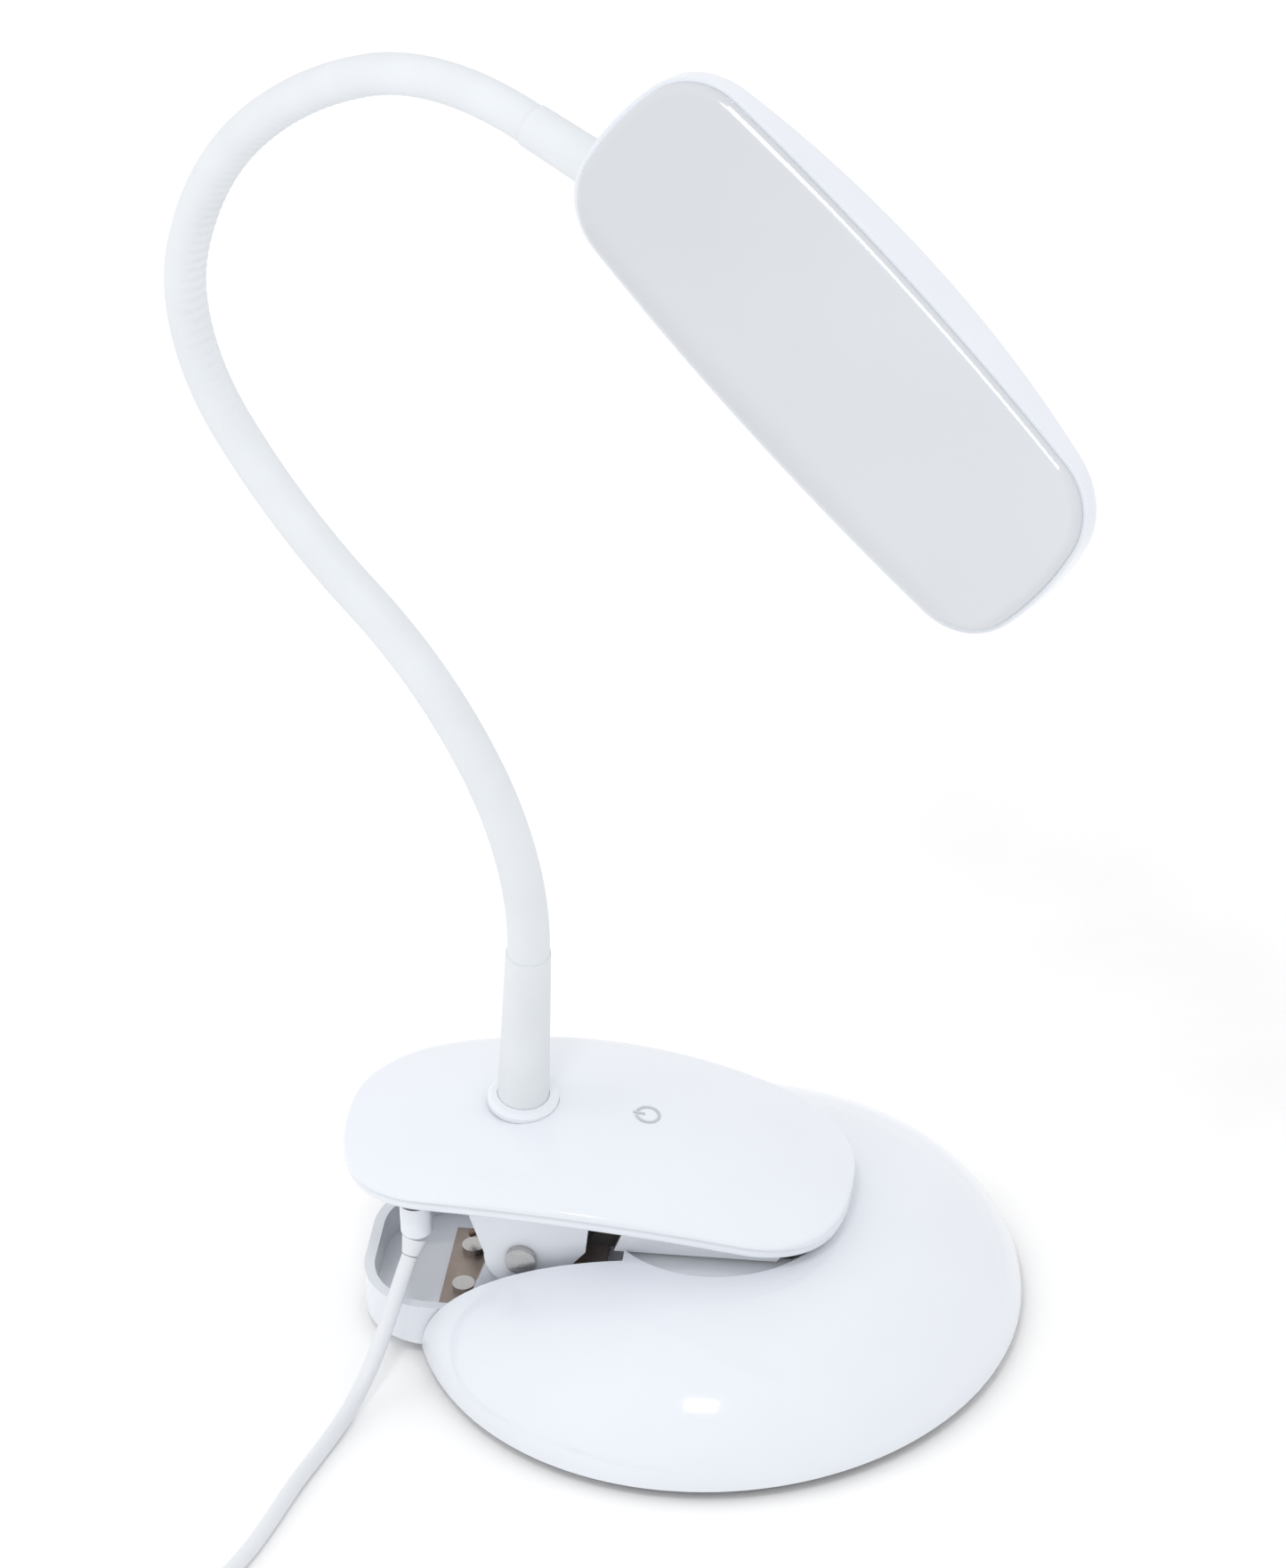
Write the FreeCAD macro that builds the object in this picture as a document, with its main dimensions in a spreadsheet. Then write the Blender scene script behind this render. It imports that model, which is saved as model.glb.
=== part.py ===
"""Clip-on reading lamp: a weighted round base with a sprung clip arm, a gooseneck and an oblong head.

Frame: the origin is the centre of the base's underside, +Z is up, +X runs along the clip arm to its
tip, and the front of the lamp faces -Y.  All sizes are in millimetres and degrees.
"""
import FreeCAD, Part
import math
import os

import Sketcher
from FreeCAD import Placement, Rotation, Vector

X_AXIS = Vector(1, 0, 0)
Y_AXIS = Vector(0, 1, 0)
Z_AXIS = Vector(0, 0, 1)
NO_TURN = Rotation()
ALONG_Y = Rotation(X_AXIS, -90)

doc = FreeCAD.newDocument("ClipLamp")
sheet = doc.addObject("Spreadsheet::Sheet", "Dims")
nodes = {}

# ---------------------------------------------------------------- driving dimensions
DIMENSIONS = [
    # base
    ("base_radius", 64, "round base, outside"),
    ("dome_rise", 30, "height of the dome above its rim"),
    ("dome_start", 3, "height of the rim, where the dome begins"),
    ("rim_lift", 2.7, "underside of the cover above the table"),
    ("cover_wall", 2.2, "wall of the base cover"),
    ("channel_half", 22.2, "half width of the channel for the clip"),
    ("channel_end", -16, "where the channel ends, along X"),
    ("seat_radius", 26, "round recess that the jaw closes into"),
    ("seat_x", 1.5, "centre of the recess, along X"),
    ("seat_floor", 27.9, "height of the recess floor"),
    ("foot_height", 1.2, "thickness of the rubber foot"),
    ("plate_radius", 61.5, "bottom plate"),
    ("plate_height", 1.8, "thickness of the bottom plate"),
    ("ballast_radius", 51, "steel weight"),
    ("ballast_height", 6, "thickness of the steel weight"),
    ("boss_circle", 55.5, "radius of the circle of screw bosses"),
    ("boss_radius", 3.4, "screw boss"),
    ("boss_height", 9, "length of a screw boss"),
    ("screw_radius", 1.4, "shank of the housing screws"),
    ("screw_head", 2.6, "head radius of the housing screws"),
    # lower handle and hinge
    ("pin_x", -38.3, "hinge pin, along X"),
    ("pin_z", 26.5, "hinge pin, height"),
    ("pin_radius", 2, "hinge pin"),
    ("pin_play", 0.05, "running clearance around the pin"),
    ("pin_head", 3.3, "head of the hinge pin"),
    ("arm_ear_in", 16.6, "inner face of the arm's ears, from the middle"),
    ("ear_wall", 2.4, "thickness of an ear"),
    ("arm_ear_radius", 8, "rounded end of the arm's ears"),
    ("base_ear_in", 13.8, "inner face of the base's ears"),
    ("base_ear_radius", 7, "rounded end of the base's ears"),
    ("bracket_in", 12.2, "inner face of the steel bracket's flanges"),
    ("bracket_wall", 1.2, "thickness of the steel bracket"),
    ("tail_end", -74.5, "rear end of the lower handle, along X"),
    ("tail_half", 21.6, "half width of the lower handle"),
    ("tail_top", 13, "top edge of the lower handle"),
    ("tail_floor", 5.6, "floor inside the lower handle"),
    ("tail_corner", 16, "corner radius of the lower handle in plan"),
    ("spring_radius", 5.2, "mean radius of the torsion spring"),
    ("spring_wire", 0.8, "radius of the spring wire"),
    ("spring_half", 7.2, "half length of the spring's coil"),
    # clip arm
    ("arm_x", -23.6, "middle of the clip arm, along X"),
    ("arm_z", 46, "parting line of the clip arm at its middle"),
    ("arm_tilt", 5.3, "slope of the arm towards its tip"),
    ("arm_half_length", 54, "clip arm"),
    ("arm_half_width", 29.5, "clip arm"),
    ("arm_corner", 23, "corner radius of the arm in plan"),
    ("arm_side", 220, "radius of the arm's long sides in plan"),
    ("arm_end", 64, "radius of the arm's ends in plan"),
    ("arm_arch", 185, "radius of the arm's parting line, which arches along its length"),
    ("arm_back", 122, "radius of the arm's top along its length"),
    ("arm_crown", 75, "radius of the arm's top across its width"),
    ("arm_top", 7.4, "rise of the top cover above the parting line"),
    ("arm_under", 3.4, "depth of the bottom cover below the parting line"),
    ("shell_wall", 1.8, "wall of the arm's and the head's shells"),
    # gooseneck
    ("neck_azimuth", 31, "the neck's plane, turned from +X towards the front"),
    ("foot_x", -39.8, "foot of the neck, along X"),
    ("foot_z", 53.7, "foot of the neck, height"),
    ("neck_lean", 5.2, "lean of the lower sleeve"),
    ("sleeve_length", 42, "lower sleeve"),
    ("sleeve_foot", 5.5, "sleeve radius where it meets a housing"),
    ("sleeve_tip", 4.8, "sleeve radius where the gooseneck starts"),
    ("neck_radius", 4.5, "gooseneck"),
    ("ball_radius", 4.2, "rounded end of each gooseneck link"),
    ("socket_radius", 5.4, "hollow end of each gooseneck link"),
    ("link_length", 45.4, "gooseneck link, along its centreline"),
    ("bend_1", -36, "bend of each link, positive towards the front"),
    ("bend_2", -28, ""),
    ("bend_3", 20, ""),
    ("bend_4", 52, ""),
    ("bend_5", 25, ""),
    ("bend_6", 20, ""),
    ("bend_7", 41, ""),
    ("upper_sleeve", 52, "upper sleeve, into the head's boss"),
    ("stud_radius", 3, "steel stud at each end of the neck"),
    ("collar_radius", 7.6, "flange at the neck's foot"),
    # head
    ("anchor_reach", 51.7, "from the last gooseneck joint to the anchor in the head"),
    ("anchor_x", -35.4, "anchor in the head's own frame"),
    ("anchor_y", 8.2, ""),
    ("anchor_z", 10, ""),
    ("head_dip", 32.2, "slope of the head's length below level"),
    ("head_roll", 114, "turn of the head about its length, from facing down"),
    ("head_half_length", 66.8, "head housing"),
    ("head_half_width", 26.7, "head housing"),
    ("head_corner", 16, "corner radius of the head in plan"),
    ("head_side", 700, "radius of the head's long sides in plan"),
    ("head_end", 66, "radius of the head's ends in plan"),
    ("head_arch", 190, "radius of the head's back along its length"),
    ("head_crown", 60, "radius of the head's back across its width"),
    ("head_depth", 18.5, "depth of the housing at its middle"),
    ("lens_inset", 1.1, "gap line between the diffuser and the housing's edge"),
    ("lens_proud", 2.6, "how far the diffuser stands out of the housing"),
    ("lens_edge", 2.2, "rounding of the diffuser's front edge"),
    ("board_height", 1.2, "thickness of the circuit boards"),
    # lead
    ("plug_x", -60.5, "charging socket, along X"),
    ("plug_y", -18.5, "charging socket, along Y"),
    ("cable_radius", 1.75, "charging lead"),
    ("coil_x", -78, "middle of the coiled lead"),
    ("coil_y", -146, ""),
    ("coil_lift", 0.8, "underside of the coil above the table"),
    ("coil_inner", 12.6, "inside radius of the coil"),
    ("coil_outer", 26.9, "outside radius of the coil"),
    ("coil_height", 6.8, "height of the coil"),
]

for row, (alias, value, remark) in enumerate(DIMENSIONS, start=1):
    sheet.set("A%d" % row, alias.replace("_", " "))
    sheet.set("B%d" % row, str(value))
    sheet.set("C%d" % row, remark)
    sheet.setAlias("B%d" % row, alias)
doc.recompute()


def size(alias):
    """The number in the cell with this alias."""
    return float(getattr(sheet, alias))


def value_of(rule):
    """The number that a rule, such as 'Dims.pin_x + 2', gives."""
    if isinstance(rule, str):
        return float(sheet.evalExpression(rule))
    return float(rule)


# ---------------------------------------------------------------- helpers
def bind(item, path, rule):
    """Set a property to a number, or bind it to a rule over the sheet's cells."""
    item.setExpression(path, rule if isinstance(rule, str) else repr(float(rule)))


def place(item, at=(0, 0, 0), turn=NO_TURN):
    """Place an item; each coordinate is a number or a rule."""
    item.Placement = Placement(Vector(*[value_of(rule) for rule in at]), turn)
    for axis, rule in zip("xyz", at):
        if isinstance(rule, str):
            item.setExpression("Placement.Base." + axis, rule)
    return item


def primitive(kind, name, at=(0, 0, 0), turn=NO_TURN, **sizes):
    """A Part primitive whose sizes are numbers or rules."""
    item = doc.addObject("Part::" + kind, name)
    for path, rule in sizes.items():
        bind(item, path, rule)
    return place(item, at, turn)


def block(name, low, high):
    """A box between two corners; each coordinate is a number or a rule."""
    spans = ["(%s) - (%s)" % (top, bottom) for bottom, top in zip(low, high)]
    corner = [rule if isinstance(rule, str) else float(rule) for rule in low]
    return primitive("Box", name, at=corner, Length=spans[0], Width=spans[1], Height=spans[2])


def fused(name, *items):
    item = doc.addObject("Part::MultiFuse", name)
    item.Shapes = list(items)
    return item


def grouped(name, *items):
    """Separate solids kept together as one node."""
    item = doc.addObject("Part::Compound", name)
    item.Links = list(items)
    return item


def cut(name, base, *tools):
    item = doc.addObject("Part::Cut", name)
    item.Base = base
    item.Tool = tools[0] if len(tools) == 1 else fused(name + "_tools", *tools)
    return item


def common(name, *items):
    item = doc.addObject("Part::MultiCommon", name)
    item.Shapes = list(items)
    return item


def feature(name, shape, placement=Placement()):
    """A shape made by Part's own functions."""
    item = doc.addObject("Part::Feature", name)
    item.Shape = shape
    item.Placement = placement
    return item


def node(label, item):
    """Register a finished sub-part under the name of its file."""
    item.Label = label
    nodes[label] = item
    return item


def new_sketch(body, role, name):
    sketch = body.newObject("Sketcher::SketchObject", name)
    plane = next(item for item in body.Origin.OriginFeatures if item.Role == role)
    sketch.AttachmentSupport = [(plane, "")]
    sketch.MapMode = "FlatFace"
    return sketch


def circle_sketch(body, name, rule, centre=(0, 0)):
    """A circle on the body's XY plane, its radius bound to a rule."""
    sketch = new_sketch(body, "XY_Plane", name)
    middle = Vector(value_of(centre[0]), value_of(centre[1]), 0)
    sketch.addGeometry(Part.Circle(middle, Z_AXIS, value_of(rule)))
    radius = sketch.addConstraint(Sketcher.Constraint("Radius", 0, value_of(rule)))
    bind(sketch, "Constraints[%d]" % radius, rule)
    return sketch


def outline_sketch(body, role, name, corners):
    """A closed polygon whose corners (across, up) are numbers or rules."""
    sketch = new_sketch(body, role, name)
    points = [Vector(value_of(across), value_of(up), 0) for across, up in corners]
    count = len(points)
    for index, point in enumerate(points):
        sketch.addGeometry(Part.LineSegment(point, points[(index + 1) % count]))
    for index in range(count):
        sketch.addConstraint(Sketcher.Constraint("Coincident", index, 2, (index + 1) % count, 1))
    for index, (corner, point) in enumerate(zip(corners, points)):
        sides = (("DistanceX", corner[0], point.x, -2), ("DistanceY", corner[1], point.y, -1))
        for kind, rule, number, axis in sides:
            if abs(number) < 1e-9:
                sketch.addConstraint(Sketcher.Constraint("PointOnObject", index, 1, axis))
            else:
                held = sketch.addConstraint(Sketcher.Constraint(kind, -1, 1, index, 1, number))
                bind(sketch, "Constraints[%d]" % held, rule)
    return sketch


def turned(name, profile, at=(0, 0, 0), turn=NO_TURN):
    """A round piece: a profile of (radius, height) corners turned about its own Z axis."""
    body = doc.addObject("PartDesign::Body", name)
    sketch = outline_sketch(body, "XZ_Plane", name + "_profile", profile)
    spin = body.newObject("PartDesign::Revolution", name + "_turned")
    spin.Profile = sketch
    spin.ReferenceAxis = (sketch, ["V_Axis"])
    spin.Angle = 360
    body.Tip = spin
    return place(body, at, turn)


def plate(name, corners, thickness, at=(0, 0, 0), turn=NO_TURN):
    """A flat piece: a polygon in the XY plane, padded upwards."""
    body = doc.addObject("PartDesign::Body", name)
    sketch = outline_sketch(body, "XY_Plane", name + "_outline", corners)
    pad = body.newObject("PartDesign::Pad", name + "_pad")
    pad.Profile = sketch
    bind(pad, "Length", thickness)
    body.Tip = pad
    return place(body, at, turn)


def rounded_plate(name, half_length, half_width, thickness, corner, at=(0, 0, 0), turn=NO_TURN):
    """A rectangular plate about its own middle with its four upright corners rounded."""
    body = plate(
        name,
        [("-(%s)" % half_length, "-(%s)" % half_width), (half_length, "-(%s)" % half_width),
         (half_length, half_width), ("-(%s)" % half_length, half_width)],
        thickness, at, turn)
    doc.recompute()
    pad = body.Tip
    upright = ["Edge%d" % (index + 1) for index, edge in enumerate(pad.Shape.Edges)
               if abs(edge.tangentAt(edge.FirstParameter).z) > 0.99]
    fillet = body.newObject("PartDesign::Fillet", name + "_corners")
    fillet.Base = (pad, upright)
    bind(fillet, "Radius", corner)
    body.Tip = fillet
    return body


def disc(name, radius, thickness, at=(0, 0, 0)):
    """A round plate."""
    body = doc.addObject("PartDesign::Body", name)
    sketch = circle_sketch(body, name + "_circle", radius)
    pad = body.newObject("PartDesign::Pad", name + "_pad")
    pad.Profile = sketch
    bind(pad, "Length", thickness)
    body.Tip = pad
    return place(body, at)


def side_profile(name, corners, low_y, high_y):
    """A piece with one outline in the XZ plane, from low_y to high_y."""
    body = doc.addObject("PartDesign::Body", name)
    sketch = outline_sketch(body, "XZ_Plane", name + "_outline", corners)
    pad = body.newObject("PartDesign::Pad", name + "_pad")
    pad.Profile = sketch
    bind(pad, "Length", "(%s) - (%s)" % (high_y, low_y))
    body.Tip = pad
    place(body, (0, high_y, 0))
    return body


def screw(name, shank, head, length, at, turn=NO_TURN):
    """A pan-head screw: its shank points up its own Z axis and its head is below."""
    head_height = 1.4
    profile = [(0, 0), (head, 0), (head, head_height), (shank, head_height),
               (shank, "%s + %s" % (head_height, length)), (0, "%s + %s" % (head_height, length))]
    return turned(name, profile, at, turn)


# ---------------------------------------------------------------- pebble shapes
def oval_wire(half_length, half_width, corner, side, end):
    """A closed outline of eight tangent arcs: two long sides, two ends and four corners."""
    side_centre = Vector(0, half_width - side, 0)
    end_centre = Vector(half_length - end, 0, 0)
    reach_side, reach_end = side - corner, end - corner
    between = end_centre - side_centre
    span = between.Length
    along = (reach_side ** 2 - reach_end ** 2 + span ** 2) / (2 * span)
    off = math.sqrt(reach_side ** 2 - along ** 2)
    unit = between / span
    centre = side_centre + unit * along + Vector(unit.y, -unit.x, 0) * off
    on_side = side_centre + (centre - side_centre) * (side / reach_side)
    on_end = end_centre + (centre - end_centre) * (end / reach_end)
    middle = centre + ((on_side + on_end) / 2 - centre).normalize() * corner

    def flip(point, sign_x, sign_y):
        return Vector(point.x * sign_x, point.y * sign_y, 0)

    arcs = []
    for sign_x, sign_y in ((1, 1), (-1, 1), (-1, -1), (1, -1)):
        arcs.append(Part.Arc(*[flip(p, sign_x, sign_y) for p in (on_side, middle, on_end)]).toShape())
    for sign_y in (1, -1):
        arcs.append(Part.Arc(flip(on_side, 1, sign_y), Vector(0, half_width * sign_y, 0),
                             flip(on_side, -1, sign_y)).toShape())
    for sign_x in (1, -1):
        arcs.append(Part.Arc(flip(on_end, sign_x, 1), Vector(half_length * sign_x, 0, 0),
                             flip(on_end, sign_x, -1)).toShape())
    return Part.Wire(Part.__sortEdges__(arcs))


def oval_prism(outline, low, high):
    """The solid over an oval outline, between two heights."""
    face = Part.Face(oval_wire(*outline))
    face.translate(Vector(0, 0, low))
    return face.extrude(Vector(0, 0, high - low))


def arched_slab(half_width, arch, crown, top, bottom):
    """A slab arched along X over a cylinder of radius `arch`, crowned across Y, top and bottom
    being heights over the arch at the middle."""
    margin = 6
    half_angle = 26
    reach = half_width + margin
    drop = crown - math.sqrt(crown ** 2 - reach ** 2) if crown else 0
    left_top, right_top = Vector(0, -reach, top - drop), Vector(0, reach, top - drop)
    left_low, right_low = Vector(0, -reach, bottom), Vector(0, reach, bottom)
    if crown:
        crest = Part.Arc(left_top, Vector(0, 0, top), right_top).toShape()
    else:
        crest = Part.makeLine(left_top, right_top)
    wire = Part.Wire([crest, Part.makeLine(right_top, right_low), Part.makeLine(right_low, left_low),
                      Part.makeLine(left_low, left_top)])
    hub = Vector(0, 0, -arch)
    face = Part.Face(wire)
    face.rotate(hub, Y_AXIS, -half_angle)
    return face.revolve(hub, Y_AXIS, 2 * half_angle)


def pebble(outline, arch, crown, top, bottom, soft_top=0, soft_bottom=0):
    """An arched and crowned pebble over an oval outline, with softened top and bottom edges."""
    half_width = outline[1]
    reach = 60
    shape = arched_slab(half_width, arch, crown, top, bottom).common(oval_prism(outline, -reach, reach))
    shape = shape.Solids[0]
    if soft_top:
        upper = max(shape.Faces, key=lambda face: face.CenterOfMass.z)
        shape = shape.makeFillet(soft_top, upper.Edges)
    if soft_bottom:
        lower = min(shape.Faces, key=lambda face: face.CenterOfMass.z)
        shape = shape.makeFillet(soft_bottom, lower.Edges)
    return shape


def shrunk(outline, by):
    """The outline moved inwards by a wall."""
    half_length, half_width, corner, side, end = outline
    return (half_length - by, half_width - by, corner - by, side - by, end - by)


# ---------------------------------------------------------------- base
def channel_block(name, grow):
    """The clip's channel, open to the rear; `grow` adds the cover's wall around it."""
    return block(name, (-80, "-Dims.channel_half - (%s)" % grow, -5),
                 ("Dims.channel_end + %s" % grow, "Dims.channel_half + %s" % grow, 50))


def dome_solid(name, inset):
    """The dome and its short rim, moved inwards by `inset`."""
    dome = primitive("Ellipsoid", name + "_dome", at=(0, 0, "Dims.dome_start"), Angle1=0, Angle2=90,
                     Radius1="Dims.dome_rise - %s" % inset, Radius2="Dims.base_radius - %s" % inset,
                     Radius3="Dims.base_radius - %s" % inset)
    rim = primitive("Cylinder", name + "_rim", at=(0, 0, "Dims.rim_lift"),
                    Radius="Dims.base_radius - %s" % inset, Height="Dims.dome_start - Dims.rim_lift")
    return fused(name, dome, rim)


def boss_places():
    """The corners where the screws hold the base together."""
    reach = size("boss_circle")
    for angle in (40, 140, 220, 320):
        yield reach * math.cos(math.radians(angle)), reach * math.sin(math.radians(angle))


def make_base_cover():
    seat = primitive("Cylinder", "seat", at=("Dims.seat_x", 0, "Dims.seat_floor"),
                     Radius="Dims.seat_radius", Height=20)
    seat_room = primitive("Cylinder", "seat_room",
                          at=("Dims.seat_x", 0, "Dims.seat_floor - Dims.cover_wall"),
                          Radius="Dims.seat_radius + Dims.cover_wall", Height=20)
    outside = cut("cover_outside", dome_solid("cover_skin", "0"), channel_block("channel", "0"), seat)
    inside = cut("cover_inside", dome_solid("cover_core", "Dims.cover_wall"),
                 channel_block("channel_room", "Dims.cover_wall"), seat_room)
    shell = cut("cover_shell", outside, inside)
    bosses, pilots = [], []
    for index, (across, up) in enumerate(boss_places()):
        bosses.append(primitive("Cylinder", "boss_%d" % index, at=(across, up, "Dims.dome_start"),
                                Radius="Dims.boss_radius", Height="Dims.boss_height"))
        pilots.append(primitive("Cylinder", "pilot_%d" % index, at=(across, up, 0),
                                Radius="Dims.screw_radius", Height="Dims.dome_start + 7"))
    posts = common("cover_posts", fused("boss_group", *bosses), dome_solid("post_limit", "0.4"))
    plate_room = primitive("Cylinder", "plate_room", at=(0, 0, 0), Radius="Dims.plate_radius + 0.15",
                           Height="Dims.foot_height + Dims.plate_height")
    node("base_cover", cut("base_cover", fused("cover_with_posts", shell, posts), plate_room, *pilots))


def make_base_bottom():
    body = disc("bottom_disc", "Dims.plate_radius", "Dims.plate_height", (0, 0, "Dims.foot_height"))
    holes = [primitive("Cylinder", "plate_hole_%d" % index, at=(across, up, 0),
                       Radius="Dims.screw_head + 0.3", Height=6)
             for index, (across, up) in enumerate(boss_places())]
    node("base_bottom_plate", cut("base_bottom_plate", body, *holes))
    node("foot_pad", disc("foot_pad", "Dims.plate_radius - 10", "Dims.foot_height"))
    ballast = disc("ballast_disc", "Dims.ballast_radius", "Dims.ballast_height",
                   (0, 0, "Dims.foot_height + Dims.plate_height"))
    slot = channel_block("ballast_slot", "Dims.cover_wall + 0.4")
    node("ballast_weight", cut("ballast_weight", ballast, slot))
    screws = [screw("base_screw_%d" % index, "Dims.screw_radius - 0.1", "Dims.screw_head", 6.5,
                    (across, up, "Dims.foot_height + 0.1"))
              for index, (across, up) in enumerate(boss_places())]
    node("base_screws", grouped("base_screws", *screws))
    pad_radius = "Dims.seat_radius - 1.4"
    pad = disc("seat_pad_disc", pad_radius, 0.8, ("Dims.seat_x", 0, "Dims.seat_floor"))
    node("lower_jaw_pad", cut("lower_jaw_pad", pad, channel_block("seat_pad_trim", "0.6")))


# ---------------------------------------------------------------- lower handle and hinge
def pin_bore(name, radius, half):
    return primitive("Cylinder", name, at=("Dims.pin_x", "-(%s)" % half, "Dims.pin_z"), turn=ALONG_Y,
                     Radius=radius, Height="2 * (%s)" % half)


def ear(name, corners, radius, low_y, high_y):
    """A hinge ear: a flat plate and a rounded end about the pin."""
    web = side_profile(name + "_web", corners, low_y, high_y)
    eye = primitive("Cylinder", name + "_eye", at=("Dims.pin_x", low_y, "Dims.pin_z"), turn=ALONG_Y,
                    Radius=radius, Height="(%s) - (%s)" % (high_y, low_y))
    return fused(name, web, eye)


def mirrored_ears(name, corners, radius, inner, wall):
    outer = "%s + %s" % (inner, wall)
    return [ear(name + "_front", corners, radius, "-(%s)" % outer, "-(%s)" % inner),
            ear(name + "_back", corners, radius, inner, outer)]


def make_lower_handle():
    floor = "Dims.foot_height + Dims.plate_height"
    half_length = "(Dims.channel_end - Dims.tail_end - 0.6) / 2"
    middle = "(Dims.channel_end + Dims.tail_end - 0.6) / 2"
    wall = "2.2"
    outer = rounded_plate("handle_outer", half_length, "Dims.tail_half", "Dims.tail_top - (%s)" % floor,
                          "Dims.tail_corner", (middle, 0, floor))
    inner = rounded_plate("handle_inner", "%s - %s" % (half_length, wall), "Dims.tail_half - " + wall,
                          20, "Dims.tail_corner - " + wall, (middle, 0, "Dims.tail_floor"))
    corners = [(-53, "Dims.tail_floor - 1"), (-25, "Dims.tail_floor - 1"),
               ("Dims.pin_x + Dims.base_ear_radius - 0.2", "Dims.pin_z"),
               ("Dims.pin_x - Dims.base_ear_radius + 0.2", "Dims.pin_z")]
    ears = mirrored_ears("handle_ear", corners, "Dims.base_ear_radius", "Dims.base_ear_in", "Dims.ear_wall")
    tray = cut("handle_tray", outer, inner)
    whole = fused("handle_with_ears", tray, *ears)
    node("lower_handle", cut("lower_handle", whole, nodes["bracket_screws"],
                             pin_bore("handle_bore", "Dims.pin_radius + Dims.pin_play", 30)))


def make_bracket_screws():
    top = "Dims.tail_floor + 0.05 + Dims.bracket_wall"
    screws = [screw("bracket_screw_%d" % index, 1.3, 2.4, 2.0, (-53.5, side, "%s + 1.4" % top),
                    Rotation(X_AXIS, 180)) for index, side in enumerate((-6.5, 6.5))]
    node("bracket_screws", grouped("bracket_screws", *screws))


def make_hinge():
    low = "Dims.tail_floor + 0.05"
    top = "Dims.tail_floor + 0.05 + Dims.bracket_wall"
    outer = "Dims.bracket_in + Dims.bracket_wall"
    floor = block("bracket_floor", (-58, "-(%s)" % outer, low), (-25, outer, top))
    corners = [(-50, low), (-28, low), ("Dims.pin_x + 5", "Dims.pin_z"), ("Dims.pin_x - 5", "Dims.pin_z")]
    flanges = mirrored_ears("bracket_flange", corners, 5, "Dims.bracket_in", "Dims.bracket_wall")
    whole = fused("bracket_whole", floor, *flanges)
    node("hinge_bracket", cut("hinge_bracket", whole, nodes["bracket_screws"],
                              pin_bore("bracket_bore", "Dims.pin_radius + Dims.pin_play", 30)))
    reach = "Dims.arm_ear_in + Dims.ear_wall"
    node("hinge_pin", turned("hinge_pin", [
        (0, 0), ("Dims.pin_head", 0), ("Dims.pin_head", 1.5), ("Dims.pin_radius", 1.5),
        ("Dims.pin_radius", "2 * (%s) + 4.1" % reach), (0, "2 * (%s) + 4.1" % reach)],
        ("Dims.pin_x", "-(%s) - 1.8" % reach, "Dims.pin_z"), ALONG_Y))
    node("pin_retainer", turned("pin_retainer", [
        ("Dims.pin_radius + 0.02", 0), ("Dims.pin_head", 0), ("Dims.pin_head", 0.9),
        ("Dims.pin_radius + 0.02", 0.9)],
        ("Dims.pin_x", "%s + 0.3" % reach, "Dims.pin_z"), ALONG_Y))


def make_torsion_spring():
    """Six turns of wire around the pin, with a leg under the arm and a leg on the bracket."""
    mean, wire, half = size("spring_radius"), size("spring_wire"), size("spring_half")
    turns = 6
    helix = Part.makeHelix(2 * half / turns, 2 * half, mean)
    start = Vector(mean, 0, 0)
    ring = Part.Wire(Part.Circle(start, Y_AXIS, wire).toShape())
    coil = Part.Wire(helix.Edges).makePipeShell([ring], True, True)
    coil.rotate(Vector(), X_AXIS, -90)
    coil.translate(Vector(size("pin_x"), -half, size("pin_z")))
    pin = Vector(size("pin_x"), 0, size("pin_z"))
    legs = []
    for end, angle, length in ((-half, 160, 21), (half, 212, 22)):
        heading = Vector(math.cos(math.radians(angle)), 0, math.sin(math.radians(angle)))
        side = Vector(heading.z, 0, -heading.x) * (-1 if angle < 180 else 1)
        legs.append(Part.makeCylinder(wire, length, pin + side * -mean + Vector(0, end, 0), heading))
    node("torsion_spring", feature("torsion_spring", coil.multiFuse(legs).removeSplitter()))


# ---------------------------------------------------------------- clip arm
ARM = Placement(Vector(size("arm_x"), 0, size("arm_z")), Rotation(Y_AXIS, size("arm_tilt")))
ARM_OUTLINE = (size("arm_half_length"), size("arm_half_width"), size("arm_corner"), size("arm_side"),
               size("arm_end"))
ARM_SCREWS = ((-63, 14), (-63, -8), (-14, 21.5), (-14, -21.5))


def arm_pebble(name, inset, top, bottom, soft_bottom=0):
    """A slice of the arm between two heights over its arched parting line."""
    shape = pebble(shrunk(ARM_OUTLINE, inset), size("arm_arch"), 0, top, bottom, 0, soft_bottom)
    return feature(name, shape, ARM)


def arm_lid(name, inset, soft_top, deep=0):
    """The arm's crowned top, moved inwards by a wall, down to `deep` below its parting line."""
    arch = size("arm_arch")
    shape = pebble(shrunk(ARM_OUTLINE, inset), size("arm_back"), size("arm_crown") - inset,
                   size("arm_top") - inset, -30, soft_top)
    under = Part.makeCylinder(arch - deep, 80, Vector(0, -40, -arch), Y_AXIS)
    return feature(name, shape.cut(under).Solids[0], ARM)


def on_arm(across, side, up):
    """A point of the arm's own frame, in the lamp's frame."""
    return ARM.multVec(Vector(across, side, up))


def arm_point(x, height, arch="arm_arch"):
    """The point over a place x on the arm's middle line, `height` above its parting line at the middle."""
    local = x - size("arm_x")
    radius = size(arch)
    return on_arm(local, 0, math.sqrt(radius ** 2 - local ** 2) - radius + height)


NECK_TURN = Rotation(Z_AXIS, -size("neck_azimuth"))
FOOT = Vector(size("foot_x"), 0, size("foot_z"))


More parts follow.
